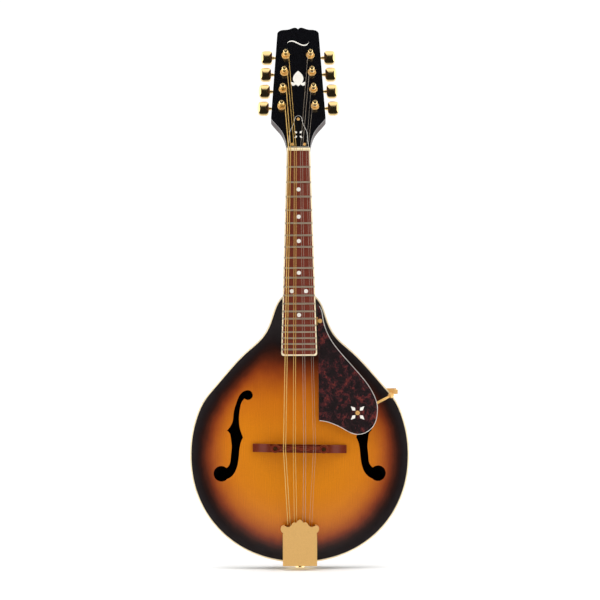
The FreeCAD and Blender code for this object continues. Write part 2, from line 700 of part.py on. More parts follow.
def make_tuners():
    """For every string a key (shaft, worm and button) and a post (post, gear and screw)."""
    for side, word in ((-1, "bass"), (1, "treble")):
        for row in range(POST_ROWS):
            x, z = side * post_half(row), POST_FIRST + POST_PITCH * row
            worm_z = z + worm_height()
            flat = 32.1 + 4.1 * (POST_ROWS - 1 - row) / (POST_ROWS - 1)
            thread = worm_thread()
            thread.translate(V(x, -WORM_N, worm_z))
            knob = button(side)
            knob.translate(V(side * flat, -WORM_N, worm_z))
            lengths = ((WORM_CORE_R, -5.2, 5.2), (SHAFT_R, -6.8, -4.4))
            turned = [rod(radius, (x + side * low, -WORM_N, worm_z), (x + side * high, -WORM_N, worm_z))
                      for radius, low, high in lengths]
            lengths = ((SHAFT_R, side * x + 4.4, flat - 1.8), (2.3, flat - 2.2, flat + 0.4))
            turned += [rod(radius, (side * low, -WORM_N, worm_z), (side * high, -WORM_N, worm_z))
                       for radius, low, high in lengths]
            key = turned[0].fuse(turned[1:]).fuse(knob).fuse(thread)
            save("tuner_key_%s_%d" % (word, row + 1), with_head(key))

            gauge = [string[1] for string in STRINGS if string[5:] == (side, row)][0]
            wheel = gear()
            wheel.translate(V(x, 0, z))
            wheel = wheel.cut(Part.makeCylinder(1.9, 6, V(x, 18, z), Y_AXIS))
            head = Part.makeCylinder(3.0, 1.3, V(x, -WORM_N + 1.0, z), Y_AXIS)
            head = head.cut(Part.makeCylinder(1.9, 6, V(x, 18, z), Y_AXIS))
            save("tuner_post_%s_%d" % (word, row + 1), with_head(post(x, z)), with_head(wheel),
                 with_head(head), with_head(winding(x, z, gauge)))


# ---------------------------------------------------------------- strings and bridge

def crown_z(x):
    """Where the saddle's stepped, slanted crown carries a string."""
    setback = [step for low, high, step in CROWN_STEPS if low <= x <= high][0]
    return BRIDGE_Z - setback - x * tan(radians(BRIDGE_SLANT))


def string_path(string):
    """Post, nut, saddle and hook: the four points that a string is stretched over."""
    _, radius, x_nut, x_bridge, x_tail, side, row = string
    reach = WAIST_R + 3 * radius + 0.02
    start = head_point(side * (post_half(row) - reach), -7.8, POST_FIRST + POST_PITCH * row)
    return [start, V(x_nut, STRING_NUT_Y, NUT_THICK / 2),
            V(x_bridge, SADDLE_TOP - radius - 0.09, crown_z(x_bridge)), V(x_tail, -14.4, -468.0)]


def make_strings():
    """Eight strings in four pairs."""
    pairs = {}
    for string in STRINGS:
        radius = string[1]
        points = string_path(string)
        runs = [rod(radius, a, b) for a, b in zip(points, points[1:])]
        bends = [Part.makeSphere(radius, corner) for corner in points[1:-1]]
        pairs.setdefault(string[0], []).append(runs[0].fuse(runs[1:] + bends))
    for word, wires in pairs.items():
        save("string_pair_" + word, *wires)


def slanted(shape):
    """Turn a bridge piece by the bridge's slight slant."""
    placed = shape.copy()
    placed.rotate(V(0, 0, BRIDGE_Z), Y_AXIS, BRIDGE_SLANT)
    return placed


def make_bridge(front_solid):
    """Foot fitted to the arch, two studs, two thumbwheels and the stepped saddle."""
    half = FOOT_DEEP / 2
    profile = [[(FOOT_HALF, -17.0), (FOOT_HALF, -20.6)],
               [(FOOT_HALF, -20.6), (46, -22.2), (38, FOOT_TOP + 0.4), (33, FOOT_TOP)],
               [(33, FOOT_TOP), (-33, FOOT_TOP)],
               [(-33, FOOT_TOP), (-38, FOOT_TOP + 0.4), (-46, -22.2), (-FOOT_HALF, -20.6)],
               [(-FOOT_HALF, -20.6), (-FOOT_HALF, -17.0)],
               [(-FOOT_HALF, -17.0), (-FOOT_HALF, -12.0)],
               [(-FOOT_HALF, -12.0), (FOOT_HALF, -12.0)],
               [(FOOT_HALF, -12.0), (FOOT_HALF, -17.0)]]
    foot = upright_profile(profile, BRIDGE_Z - half, BRIDGE_Z + half)
    foot = slanted(foot).cut(front_solid.translated(V(0, -0.02, 0)))
    arch_gap = upright_profile([[(15, -12), (15, -18.0)],
                                [(15, -18.0), (0, -21.2), (-15, -18.0)],
                                [(-15, -18.0), (-15, -12)], [(-15, -12), (15, -12)]],
                               BRIDGE_Z - 9, BRIDGE_Z + 9)
    studs, wheels = [], []
    bottom = FOOT_TOP - 0.3
    for side in (-1, 1):
        x = side * WHEEL_HALF
        studs.append(slanted(rod(STUD_R, (x, -20.0, BRIDGE_Z), (x, BOSS_TOP + 0.6, BRIDGE_Z))))
        wheel = rod(WHEEL_R, (x, bottom, BRIDGE_Z), (x, bottom - WHEEL_THICK, BRIDGE_Z))
        notches = []
        for i in range(24):
            angle = 2 * pi * i / 24
            notches.append(rod(0.42, (x + (WHEEL_R + 0.12) * cos(angle), bottom + 1,
                                      BRIDGE_Z + (WHEEL_R + 0.12) * sin(angle)),
                               (x + (WHEEL_R + 0.12) * cos(angle), bottom - 5,
                                BRIDGE_Z + (WHEEL_R + 0.12) * sin(angle))))
        wheel = wheel.cut(notches).cut(rod(STUD_R + FIT, (x, -10, BRIDGE_Z), (x, -40, BRIDGE_Z)))
        wheels.append(slanted(wheel))
    save("bridge_foot", foot.cut(slanted(arch_gap)).cut(studs))
    save("bridge_studs", *studs)
    save("thumbwheel_bass", wheels[0])
    save("thumbwheel_treble", wheels[1])

    low = bottom - WHEEL_THICK - 0.15
    crest = SADDLE_TOP + 2.6
    thick = SADDLE_THICK / 2
    profile = [[(SADDLE_HALF, low), (SADDLE_HALF, low - 2.2)],
               [(SADDLE_HALF, low - 2.2), (33, low - 3.0), (27, crest - 0.6), (24, crest)],
               [(24, crest), (-24, crest)],
               [(-24, crest), (-27, crest - 0.6), (-33, low - 3.0), (-SADDLE_HALF, low - 2.2)],
               [(-SADDLE_HALF, low - 2.2), (-SADDLE_HALF, low)],
               [(-SADDLE_HALF, low), (SADDLE_HALF, low)]]
    saddle = upright_profile(profile, BRIDGE_Z - thick, BRIDGE_Z + thick)
    for x_low, x_high, setback in CROWN_STEPS:
        middle = BRIDGE_Z - setback
        corners = [V(x_low, crest + 0.6, middle - 2.2), V(x_low, crest + 0.6, middle + 2.2),
                   V(x_low, SADDLE_TOP, middle + 0.3), V(x_low, SADDLE_TOP, middle - 0.3)]
        ridge = Part.Face(Part.makePolygon(corners + corners[:1])).extrude(V(x_high - x_low, 0, 0))
        saddle = saddle.fuse(ridge)
    for side in (-1, 1):
        x = side * WHEEL_HALF
        boss = rod(BOSS_R, (x, low, BRIDGE_Z), (x, BOSS_TOP, BRIDGE_Z))
        saddle = saddle.fuse(boss).cut([
            rod(STUD_R + FIT, (x, -20, BRIDGE_Z), (x, BOSS_TOP - 2, BRIDGE_Z)),
            rod(STUD_R + 0.8, (x, BOSS_TOP + 1.8, BRIDGE_Z), (x, BOSS_TOP - 2, BRIDGE_Z))])
    save("bridge_saddle", slanted(saddle.removeSplitter()))


def upright_profile(stretches, z_low, z_high):
    """A bar along Z whose outline is a ring of smooth stretches of (x, y) points."""
    edges = []
    for stretch in stretches:
        points = [V(x, y, z_low) for x, y in stretch]
        if len(points) == 2:
            edges.append(Part.makeLine(*points))
        else:
            curve = Part.BSplineCurve()
            curve.interpolate(points)
            edges.append(curve.toShape())
    return Part.Face(Part.Wire(edges)).extrude(V(0, 0, z_high - z_low))


# ---------------------------------------------------------------- tailpiece and strap button

def cover_outline(inset):
    """A stepped, cloud-shaped head with two round ears over a straight-sided body."""
    top, side = COVER_TOP - inset, COVER_HALF - inset
    return mirrored([
        [(0, COVER_BOTTOM), (side, COVER_BOTTOM)],
        [(side, COVER_BOTTOM), (side, -464.6)],
        [(side, -464.6), (side - 0.3 - inset * 0.3, -462.2), (side + 1.7, -459.6),
         (side + 2.4, -456.4), (side - 0.2, -453.4), (side - 3.8, -453.8)],
        [(side - 3.8, -453.8), (side - 6.5, -454.4), (9.6, -451.2 - inset)],
        [(9.6, -451.2 - inset), (7.6, -449.0 - inset), (4.6, -449.4 - inset)],
        [(4.6, -449.4 - inset), (2.9, -447.4 - inset), (0, top)],
    ])


def tailpiece_screws():
    """Three screws through the tailpiece base into the tail block."""
    screws = []
    for x, y in ((-11, 8), (11, 8), (0, 27.5)):
        head = rod(2.9, (x, y, TAIL_EDGE - SHEET), (x, y, TAIL_EDGE - SHEET - 1.2))
        screws.append(head.fuse(rod(1.4, (x, y, TAIL_EDGE - SHEET), (x, y, -484))))
    return screws


def strap_button():
    """A turned button whose shank goes through the tailpiece base into the tail block."""
    middle = 17.0
    profile = [(0, -481.0), (3.0, -481.0), (3.0, TAIL_EDGE - SHEET), (5.2, TAIL_EDGE - SHEET),
               (5.2, -501.2), (3.6, -502.0), (3.7, -503.6), (5.6, -504.2), (5.6, -506.0),
               (3.8, -507.1), (0, -507.3)]
    corners = [V(radius, middle, z) for radius, z in profile]
    face = Part.Face(Part.makePolygon(corners + corners[:1]))
    return face.revolve(V(0, middle, 0), Z_AXIS, 360)


def make_tailpiece(fasteners):
    """Base with string hooks, bent over the rim's end, and the cover that slides on it."""
    top_edge = -464.0
    side = [(-12.9, top_edge), (-12.0, top_edge), (-5.2, TAIL_EDGE), (32, TAIL_EDGE),
            (32, TAIL_EDGE - SHEET), (-6.1, TAIL_EDGE - SHEET)]
    corners = [V(-17, y, z) for y, z in side]
    base = Part.Face(Part.makePolygon(corners + corners[:1])).extrude(V(34, 0, 0))
    for string in STRINGS:
        x = string[4]
        base = base.fuse([box((x - 0.9, -15.8, -472.4), (x + 0.9, -9.6, -471.2)),
                          box((x - 0.9, -15.8, -474.4), (x + 0.9, -14.9, -471.2))])
    save("tailpiece_base", base.cut(fasteners).removeSplitter())

    shell = curved_slab(cover_outline(0), 0, 9.5)
    cavity = curved_slab(cover_outline(SHEET), SHEET, 30)
    mouth = box((-15.6, SHEET, -470), (15.6, 30, -440))
    cover = shell.cut(cavity).cut(mouth)
    cover.rotate(V(0, 0, COVER_TOP), X_AXIS, COVER_LEAN)
    cover.translate(V(0, COVER_FRONT, 0))
    save("tailpiece_cover", cover)


# ---------------------------------------------------------------- pickguard

def guard_outline():
    """Straight beside the fretboard, with a long sweep to a rounded point."""
    return [
        [(22.4, -186.5), (27.2, -193.4), (29.4, -205.6), (33.0, -218.0), (38.4, -229.0),
         (50.0, -244.8), (72.8, -270.9), (84.4, -286.0), (90.4, -297.0), (93.8, -307.4),
         (94.0, -318.3), (92.6, -326.7), (88.2, -335.2), (81.4, -341.0), (72.2, -344.0),
         (62.9, -342.6), (52.0, -336.8), (39.3, -330.8), (23.2, -327.2)],
        [(23.2, -327.2), (23.2, -252.0)],
        [(23.2, -252.0), (22.4, -186.5)],
    ]


def make_pickguard():
    """Raised plate with a pale lower ply, its screws, and the bracket that grips the rim."""
    under = GUARD_TOP + GUARD_THICK + GUARD_PLY
    face = GUARD_TOP + GUARD_THICK
    whole = curved_slab(guard_outline(), GUARD_TOP, face)
    inner_edge = whole.common(box((0, 0, -400), (GUARD_INNER, 20, -100)))
    plate = inset_slab(guard_outline(), GUARD_EDGE, GUARD_TOP, face).fuse(inner_edge)
    ply = curved_slab(guard_outline(), face, under)
    screws = [slotted_screw(2.6, 1.0, 1.2, under - GUARD_TOP + 2.4, x, GUARD_TOP, z)
              for x, z in ((25.2, -206.8), (70.0, -318.0))]
    save("pickguard", with_board(plate.cut(screws)))
    save("pickguard_ply", with_board(ply.cut(screws)))
    save("pickguard_screws", *[with_board(screw) for screw in screws])

    lug = box((19.4, under, -211.5), (28.5, under + 3.0, -202.0))
    block = box((65.0, under, -323.0), (75.0, under + 3.4, -313.0))
    knee = (104.0, under + 1.8, -300.4)
    bar = rod(1.5, (74.0, under + 1.8, -315.8), knee)
    held = with_board(block.fuse(bar).fuse(Part.makeSphere(1.5, V(*knee))).cut(screws))
    lean = radians(NECK_LEAN)
    turn = V(knee[0], knee[1] * cos(lean) + knee[2] * sin(lean),
             knee[2] * cos(lean) - knee[1] * sin(lean))
    bolt_x = CLAMP_X + 1.0
    elbow = V(CLAMP_X, EDGE_FRONT - 8.6, CLAMP_Z)
    link = [rod(1.3, turn, COLLAR), rod(1.3, COLLAR, elbow), Part.makeSphere(1.3, V(*COLLAR))]
    direction = (elbow - V(*COLLAR)).normalize()
    nut = Part.makeCylinder(3.1, 4.4, V(*COLLAR) - direction * 2.2, direction)
    knob = Part.makeCylinder(2.6, 3.6, elbow - Y_AXIS * 1.8, Y_AXIS)
    foot_front = box((109.5, EDGE_FRONT - 3.2, CLAMP_Z - 2.6),
                     (119.0, EDGE_FRONT - 0.4, CLAMP_Z + 2.6))
    foot_back = box((105.5, EDGE_BACK + 0.4, CLAMP_Z - 2.6), (119.0, EDGE_BACK + 2.6, CLAMP_Z + 2.6))
    bolt = rod(1.5, (bolt_x, EDGE_FRONT - 8.6, CLAMP_Z), (bolt_x, EDGE_BACK + 4.4, CLAMP_Z))
    bracket = held.fuse(link + [nut, knob, foot_front, foot_back, bolt])
    save("pickguard_bracket", bracket, with_board(lug.cut(screws)))


def main():
    os.makedirs("parts", exist_ok=True)
    truss_screws, machine_screws = cover_screws(), plate_screws()
    tail_screws, strap = tailpiece_screws(), strap_button()
    save("truss_cover_screws", *truss_screws)
    save("tuner_plate_screws", *machine_screws)
    save("tailpiece_screws", *tail_screws)
    save("strap_button", strap)

    front_solid = make_body(tenon_block(), tail_screws + [strap])
    make_neck(front_solid, truss_screws + machine_screws)
    make_truss_rod()
    make_nut()
    make_fretboard()
    make_headstock_face(truss_screws)
    make_tuner_plates(machine_screws)
    make_bushings()
    make_tuners()
    make_strings()
    make_bridge(front_solid)
    make_tailpiece(tail_screws + [strap])
    make_pickguard()


main()
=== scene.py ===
import math

import bpy
import numpy as np
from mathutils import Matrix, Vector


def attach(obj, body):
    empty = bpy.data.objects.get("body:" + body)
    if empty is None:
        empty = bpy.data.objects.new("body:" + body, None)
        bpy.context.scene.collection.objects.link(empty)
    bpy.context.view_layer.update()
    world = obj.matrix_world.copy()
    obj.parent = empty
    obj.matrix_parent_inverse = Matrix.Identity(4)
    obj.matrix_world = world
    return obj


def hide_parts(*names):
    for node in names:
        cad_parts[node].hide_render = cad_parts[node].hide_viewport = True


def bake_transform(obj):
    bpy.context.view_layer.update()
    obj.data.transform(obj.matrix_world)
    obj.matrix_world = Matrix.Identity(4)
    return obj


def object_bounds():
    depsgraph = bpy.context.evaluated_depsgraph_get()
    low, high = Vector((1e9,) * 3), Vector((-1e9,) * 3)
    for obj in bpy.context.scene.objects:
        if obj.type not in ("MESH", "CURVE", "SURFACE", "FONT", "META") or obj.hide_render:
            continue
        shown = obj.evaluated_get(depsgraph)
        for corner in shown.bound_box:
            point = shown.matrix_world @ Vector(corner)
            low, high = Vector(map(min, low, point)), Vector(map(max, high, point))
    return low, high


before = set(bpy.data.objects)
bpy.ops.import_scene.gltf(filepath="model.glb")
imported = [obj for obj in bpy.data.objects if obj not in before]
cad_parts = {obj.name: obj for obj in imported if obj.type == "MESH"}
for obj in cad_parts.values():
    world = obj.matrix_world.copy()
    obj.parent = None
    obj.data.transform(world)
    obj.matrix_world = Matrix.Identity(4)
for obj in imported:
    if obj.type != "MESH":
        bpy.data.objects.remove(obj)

# The looks of an arched-top mandolin, in metres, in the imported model's frame: +X to the
# right of somebody who faces the soundboard, +Y from the soundboard towards the back, and
# +Z up the neck, with the origin where the strings leave the nut.

CAD_LOW, CAD_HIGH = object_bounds()
MM = 0.001

# The camera: its place, its focal length on a 36 mm sensor, and its roll in degrees
CAMERA_PLACE = (0.0012, -3.2, -0.181)
FOCAL_LENGTH = 158.4
CAMERA_ROLL = 0.22

# The body's outline, in millimetres, as part.py draws it
LOWER_CENTRE = -368.5
LOWER_HALF_WIDTH = 132.7
LOWER_HALF_HEIGHT = 130.3
SHOULDER = ((0, -171.5), (12, -172.8), (19.3, -176), (25.5, -183), (32, -198), (36.9, -212),
            (46.4, -227), (61.8, -241), (83.6, -263), (102.5, -285))

# The headstock and its posts, in millimetres. A winding lies this far in front of the face.
HEAD_LEAN = math.radians(21.0)
HEAD_DROP = 1.6
NUT_THICK = 3.6
POST_FIRST = 55.3
POST_PITCH = 23.0
POST_HALF_FIRST = 20.35         # half the distance between the first pair of posts
POST_HALF_STEP = -1.72
WAIST_R = 2.45                  # of a post, where the string is wound
WINDING_DEPTH = -7.8
COVER_FACE = -1.5               # of the truss-rod cover

# The strings, in millimetres: pair, radius, x at the nut, at the bridge and at the tail,
# side and row of the post
STRINGS = (
    ("g", 0.51, -11.7, -19.3, -13.6, -1, 0), ("g", 0.51, -9.4, -16.7, -10.6, -1, 1),
    ("d", 0.33, -4.9, -7.6, -6.4, -1, 2), ("d", 0.33, -2.6, -5.0, -3.4, -1, 3),
    ("a", 0.19, 2.4, 4.9, 3.4, 1, 3), ("a", 0.19, 4.9, 7.5, 6.4, 1, 2),
    ("e", 0.14, 9.5, 16.7, 10.6, 1, 1), ("e", 0.14, 11.7, 19.3, 13.6, 1, 0),
)
# Each pair crosses a step of the saddle's crown: from x, to x, and how far it is set back
CROWN_STEPS = ((-24.0, -12.1, 0.9), (-12.1, 0.0, -0.3), (0.0, 12.1, 0.6), (12.1, 24.0, -0.6))
STRING_NUT_Y = -1.75
BRIDGE_Z = -359.8
SADDLE_TOP = -35.9
CROWN_GAP = 0.09                # between a string's lower side and the saddle
BRIDGE_SLANT = math.tan(math.radians(1.0))
HOOK = (-14.4, -468.0)          # y and z of the tailpiece's hooks

# The year lines of the spruce, and the length that a wave of scale 1 repeats over
YEAR_LINE = 0.0016
WAVE_UNIT = 0.314
DRAWN_TURN = 0.0009             # of the bronze winding
BURST_REACH = 100.0             # millimetres from the edge to the end of the colour ramps

# The pickguard: its lean, and its lower screw's x, depth and height in the leaning frame
BOARD_LEAN = math.radians(5.0)
GUARD_SCREW = (70.0, 4.2, -318.0)


# ---------------------------------------------------------------- materials

def linear(code):
    """An sRGB hex colour as linear light with alpha 1: each part over 255, then divided by
    12.92 if it is small, or else raised to the power 2.4 after its offset is taken out."""
    parts = [int(code[i:i + 2], 16) / 255 for i in (1, 3, 5)]
    return tuple(p / 12.92 if p <= 0.04045 else ((p + 0.055) / 1.055) ** 2.4
                 for p in parts) + (1.0,)


def add(tree, kind, inputs=(), stops=(), **settings):
    """Put one node in the tree. An input is a number, a colour, a socket, or a node, which
    gives its first output. Stops are a ramp's (place, hex colour) or a curve's points."""
    node = tree.nodes.new("ShaderNode" + kind)
    for name, value in settings.items():
        setattr(node, name, value)
    for name, value in dict(inputs).items():
        source = value.outputs[0] if isinstance(value, bpy.types.Node) else value
        if isinstance(source, bpy.types.NodeSocket):
            tree.links.new(source, node.inputs[name])
        else:
            node.inputs[name].default_value = source
    if stops and kind == "ValToRGB":
        elements = node.color_ramp.elements
        elements.remove(elements[-1])
        elements[0].position, elements[0].color = stops[0][0], linear(stops[0][1])
        for place, code in stops[1:]:
            elements.new(place).color = linear(code)
    elif stops:
        curve = node.mapping.curves[0]
        curve.points[0].location = stops[0]
        curve.points[-1].location = stops[-1]
        for point in stops[1:-1]:
            curve.points.new(*point)
        node.mapping.update()
    return node


def start(name, colour="#808080", **shader):
    """A new material: its node tree, its surface shader and the object's coordinates. The
    shader's own sockets hold every number that is the same all over."""
    made = bpy.data.materials.new(name)
    made.use_nodes = True
    tree = made.node_tree
    tree.nodes.clear()
    surface = add(tree, "BsdfPrincipled", {"Base Color": linear(colour)})
    for socket, value in shader.items():
        surface.inputs[socket.replace("_", " ")].default_value = value
    add(tree, "OutputMaterial", {"Surface": surface})
    return tree, surface, add(tree, "TexCoord").outputs["Object"]


def finish_of(tree):
    """The material that a node tree belongs to."""
    return next(m for m in bpy.data.materials if m.node_tree == tree)


def paint(tree, surface, **sources):
    """Link sources to the shader's sockets, which are named with _ for a space."""
    for socket, source in sources.items():
        value = source.outputs[0] if isinstance(source, bpy.types.Node) else source
        tree.links.new(value, surface.inputs[socket.replace("_", " ")])


def stretched(tree, coords, x, y, z):
    """Coordinates scaled so that one unit of a pattern is x, y and z millimetres long."""
    return add(tree, "Mapping", {"Vector": coords, "Scale": (1e3 / x, 1e3 / y, 1e3 / z)})


def blend_colours(tree, share, first, second, mode="MIX"):
    """One colour laid over another by a share."""
    mix = add(tree, "Mix", {0: share, 6: first, 7: second}, data_type="RGBA", blend_type=mode)
    return mix.outputs[2]


def half_width(z):
    """Half the body's width at each height: an ellipse in the lower bout, and straight
    lines between the outline's own points in the shoulders."""
    across = np.array(SHOULDER)[::-1]
    bout = LOWER_HALF_WIDTH * np.sqrt(np.maximum(
        0, 1 - ((z - LOWER_CENTRE) / LOWER_HALF_HEIGHT) ** 2))
    return np.where(z > across[0, 1], np.interp(z, across[:, 1], across[:, 0]), bout)


def inward(tree, coords):
    """How far a point lies inside the outline, in millimetres. In the lower half it is the
    ellipse's mean radius times one minus the share of the radius that the point lies at.
    Above, it is the half width less the point's own x, times the cosine of the outline's
    slope. Towards the neck it is held down by a slope along Z, because the dark part of
    the finish reaches further in there."""
    low, span = LOWER_CENTRE, -160 - LOWER_CENTRE
    tallest = 140.0             # the curves hold shares of this width
    z = np.linspace(low, low + span, 27)
    width = half_width(z)
    fine = np.linspace(low, low + span, 400)
    slope = np.gradient(half_width(fine), fine)
    slope = np.convolve(np.pad(slope, 12, "edge"), np.ones(25) / 25, "valid")
    cosine = np.interp(z, fine, 1 / np.sqrt(1 + slope ** 2))
    share = (z - low) / span

    parts = add(tree, "SeparateXYZ", {0: coords})
    x = add(tree, "Math", {0: add(tree, "Math", {0: parts}, operation="ABSOLUTE"), 1: 1e3},
            operation="MULTIPLY")
    height = add(tree, "Math", {0: parts.outputs[2], 1: 1e3}, operation="MULTIPLY")
    place = add(tree, "Math", {0: height, 1: 1 / span, 2: -low / span}, operation="MULTIPLY_ADD")
    curve = add(tree, "FloatCurve", {"Value": place}, stops=list(zip(share, width / tallest)))
    lean = add(tree, "FloatCurve", {"Value": place}, stops=list(zip(share, cosine)))
    gap = add(tree, "Math", {0: curve, 1: tallest}, operation="MULTIPLY")
    gap = add(tree, "Math", {0: gap, 1: x}, operation="SUBTRACT")
    above = add(tree, "Math", {0: gap, 1: lean}, operation="MULTIPLY")

    x_share = add(tree, "Math", {0: x, 1: LOWER_HALF_WIDTH}, operation="DIVIDE")
    z_share = add(tree, "Math", {0: height, 1: 1 / LOWER_HALF_HEIGHT,
                                 2: -LOWER_CENTRE / LOWER_HALF_HEIGHT}, operation="MULTIPLY_ADD")
    flat = add(tree, "CombineXYZ", {0: x_share, 1: z_share})
    radius = add(tree, "VectorMath", {0: flat}, operation="LENGTH").outputs["Value"]
    mean = (LOWER_HALF_WIDTH + LOWER_HALF_HEIGHT) / 2
    below = add(tree, "Math", {0: radius, 1: -mean, 2: mean}, operation="MULTIPLY_ADD")

    upper = add(tree, "Math", {0: height, 1: LOWER_CENTRE}, operation="GREATER_THAN")
    side = add(tree, "Mix", {0: upper, 2: below, 3: above})
    neckward = add(tree, "Math", {0: height, 1: -0.45, 2: -95.6}, operation="MULTIPLY_ADD")
    return add(tree, "Math", {0: side, 1: neckward, 2: 10.0}, operation="SMOOTH_MIN")


def facing(tree):
    """How far a face looks towards the back: the Y part of its normal."""
    return add(tree, "SeparateXYZ", {0: add(tree, "TexCoord").outputs["Normal"]}).outputs[1]


def sunburst_spruce():
    """Spruce under a shaded amber lacquer, sprayed and polished. Fine straight year lines
    1.6 mm apart run up the top, faint silk runs across them, and the clear coat is glossy.
    At the very edge the black of the burst is made a lighter grey, a painted sheen of the
    room in the lacquer. Faces that look sideways or inwards, the walls of the f-holes among
    them, are made nearly black."""
    tree, surface, coords = start("polished_sunburst_on_spruce", Roughness=0.42,
                                  Specular_IOR_Level=0.1, Coat_Weight=1.0,
                                  Coat_Roughness=0.05, Coat_IOR=1.5)
    cloud = add(tree, "TexNoise", {"Vector": stretched(tree, coords, 60, 60, 90), "Detail": 2.0})
    depth = add(tree, "Math", {0: cloud, 1: 5.0, 2: -2.5}, operation="MULTIPLY_ADD")
    depth = add(tree, "Math", {0: inward(tree, coords), 1: depth}, operation="ADD")
    share = add(tree, "Math", {0: depth, 1: BURST_REACH}, operation="DIVIDE")
    # The first three stops are greys lighter than the black of the burst: a painted sheen, the
    # room mirrored in the lacquer at the dark edge.
    amber = add(tree, "ValToRGB", {0: share}, stops=(
        (0.0, "#262122"), (0.05, "#201a1b"), (0.09, "#1b1111"), (0.13, "#280f08"),
        (0.18, "#4c1c09"), (0.23, "#742e0c"), (0.28, "#92430f"), (0.34, "#a8560e"),
        (0.42, "#ba660d"), (0.55, "#c6720b"), (0.85, "#cb7807")))
    wander = add(tree, "TexNoise", {"Vector": stretched(tree, coords, 30, 30, 160), "Detail": 1.0})
    bent = add(tree, "Math", {0: wander, 1: 0.004}, operation="MULTIPLY")
    shifted = add(tree, "VectorMath", {0: coords, 1: add(tree, "CombineXYZ", {0: bent})},
                  operation="ADD")
    year = add(tree, "TexWave", {"Vector": shifted, "Scale": WAVE_UNIT / YEAR_LINE,
                                 "Distortion": 0.6, "Detail": 1.0, "Detail Scale": 0.02},
               bands_direction="X")
    streak = add(tree, "TexNoise", {"Vector": stretched(tree, coords, 1.1, 1.1, 60),
                                    "Detail": 3.0})
    silk = add(tree, "TexNoise", {"Vector": stretched(tree, coords, 14, 14, 2.2), "Detail": 2.0})
    lines = add(tree, "Math", {0: year.outputs["Fac"], 1: 0.14, 2: 0.86},
                operation="MULTIPLY_ADD")
    lines = add(tree, "Math", {0: streak, 1: 0.20, 2: lines}, operation="MULTIPLY_ADD")
    lines = add(tree, "Math", {0: silk, 1: 0.24, 2: lines}, operation="MULTIPLY_ADD")
    lines = add(tree, "Math", {0: lines, 1: 0.16}, operation="SUBTRACT")
    shade = add(tree, "CombineXYZ", {0: lines, 1: lines, 2: lines})
    lacquered = blend_colours(tree, 1.0, amber.outputs[0], shade.outputs[0], "MULTIPLY")
    walls = add(tree, "MapRange", {0: facing(tree), 1: -0.75, 2: -0.55, 3: 0.0, 4: 1.0})
    paint(tree, surface, Base_Color=blend_colours(tree, walls, lacquered, linear("#0a0504")))
    return finish_of(tree)


def sunburst_maple():
    """Figured maple under the same shaded lacquer, darker and browner than the top. The
    curl crosses the grain in bands about 9 mm apart. The face inside the body, which looks
    towards the soundboard, is painted nearly black: painted shade for the dark inside."""
    tree, surface, coords = start("polished_sunburst_on_curly_maple", Roughness=0.42,
                                  Specular_IOR_Level=0.1, Coat_Weight=1.0,
                                  Coat_Roughness=0.05, Coat_IOR=1.5)
    share = add(tree, "Math", {0: inward(tree, coords), 1: BURST_REACH},
                operation="DIVIDE")
    amber = add(tree, "ValToRGB", {0: share}, stops=(
        (0.0, "#100807"), (0.10, "#180a08"), (0.18, "#35140b"), (0.28, "#63290f"),
        (0.42, "#8a4315"), (0.60, "#a3561c"), (0.90, "#ae6120")))
    curl = add(tree, "TexWave", {"Vector": stretched(tree, coords, 30, 30, 30), "Scale": 1.05,
                                 "Distortion": 3.0, "Detail": 3.0, "Detail Scale": 2.2,
                                 "Detail Roughness": 0.65},
               bands_direction="Z")
    grain = add(tree, "TexNoise", {"Vector": stretched(tree, coords, 1.4, 1.4, 40),
                                   "Detail": 3.0})
    lines = add(tree, "Math", {0: curl.outputs["Fac"], 1: 0.18, 2: 0.80},
                operation="MULTIPLY_ADD")
    lines = add(tree, "Math", {0: grain, 1: 0.24, 2: lines}, operation="MULTIPLY_ADD")
    shade = add(tree, "CombineXYZ", {0: lines, 1: lines, 2: lines})
    lacquered = blend_colours(tree, 1.0, amber.outputs[0], shade.outputs[0], "MULTIPLY")
    # Painted shade: faces that look towards the soundboard are blended to near black.
    inside_shade = add(tree, "MapRange", {0: facing(tree), 1: -0.3, 2: -0.6, 3: 0.0, 4: 1.0})
    paint(tree, surface, Base_Color=blend_colours(tree, inside_shade, lacquered, linear("#120a07")))
    return finish_of(tree)


def timber(name, dark, light, along, roughness, coat, pore=0.35):
    """Straight-grained timber: streaks 1.5 mm wide and fine pores run along one axis. Open
    pores leave it a little rough, unless a coat fills them."""
    tree, surface, coords = start(name, Roughness=roughness, Specular_IOR_Level=0.15,
                                  Coat_Weight=coat, Coat_Roughness=0.08)
    streaks = [1.5, 1.5, 1.5]
    streaks["XYZ".index(along)] = 55.0
    pores = [pore, pore, pore]
    pores["XYZ".index(along)] = 6.0
    streak = add(tree, "TexNoise", {"Vector": stretched(tree, coords, *streaks), "Detail": 4.0,
                                    "Roughness": 0.6})
    colour = add(tree, "ValToRGB", {0: streak}, stops=((0.28, dark), (0.72, light)))
    fine = add(tree, "TexNoise", {"Vector": stretched(tree, coords, *pores), "Detail": 2.0})
    open_pore = add(tree, "ValToRGB", {0: fine}, stops=((0.30, "#6a6a6a"), (0.46, "#ffffff")))
    paint(tree, surface, Base_Color=blend_colours(tree, 0.8, colour.outputs[0],
                                                  open_pore.outputs[0], "MULTIPLY"))
    bump = add(tree, "Bump", {"Height": fine, "Strength": 0.25, "Distance": 0.0001})
    paint(tree, surface, Normal=bump)
    return finish_of(tree)


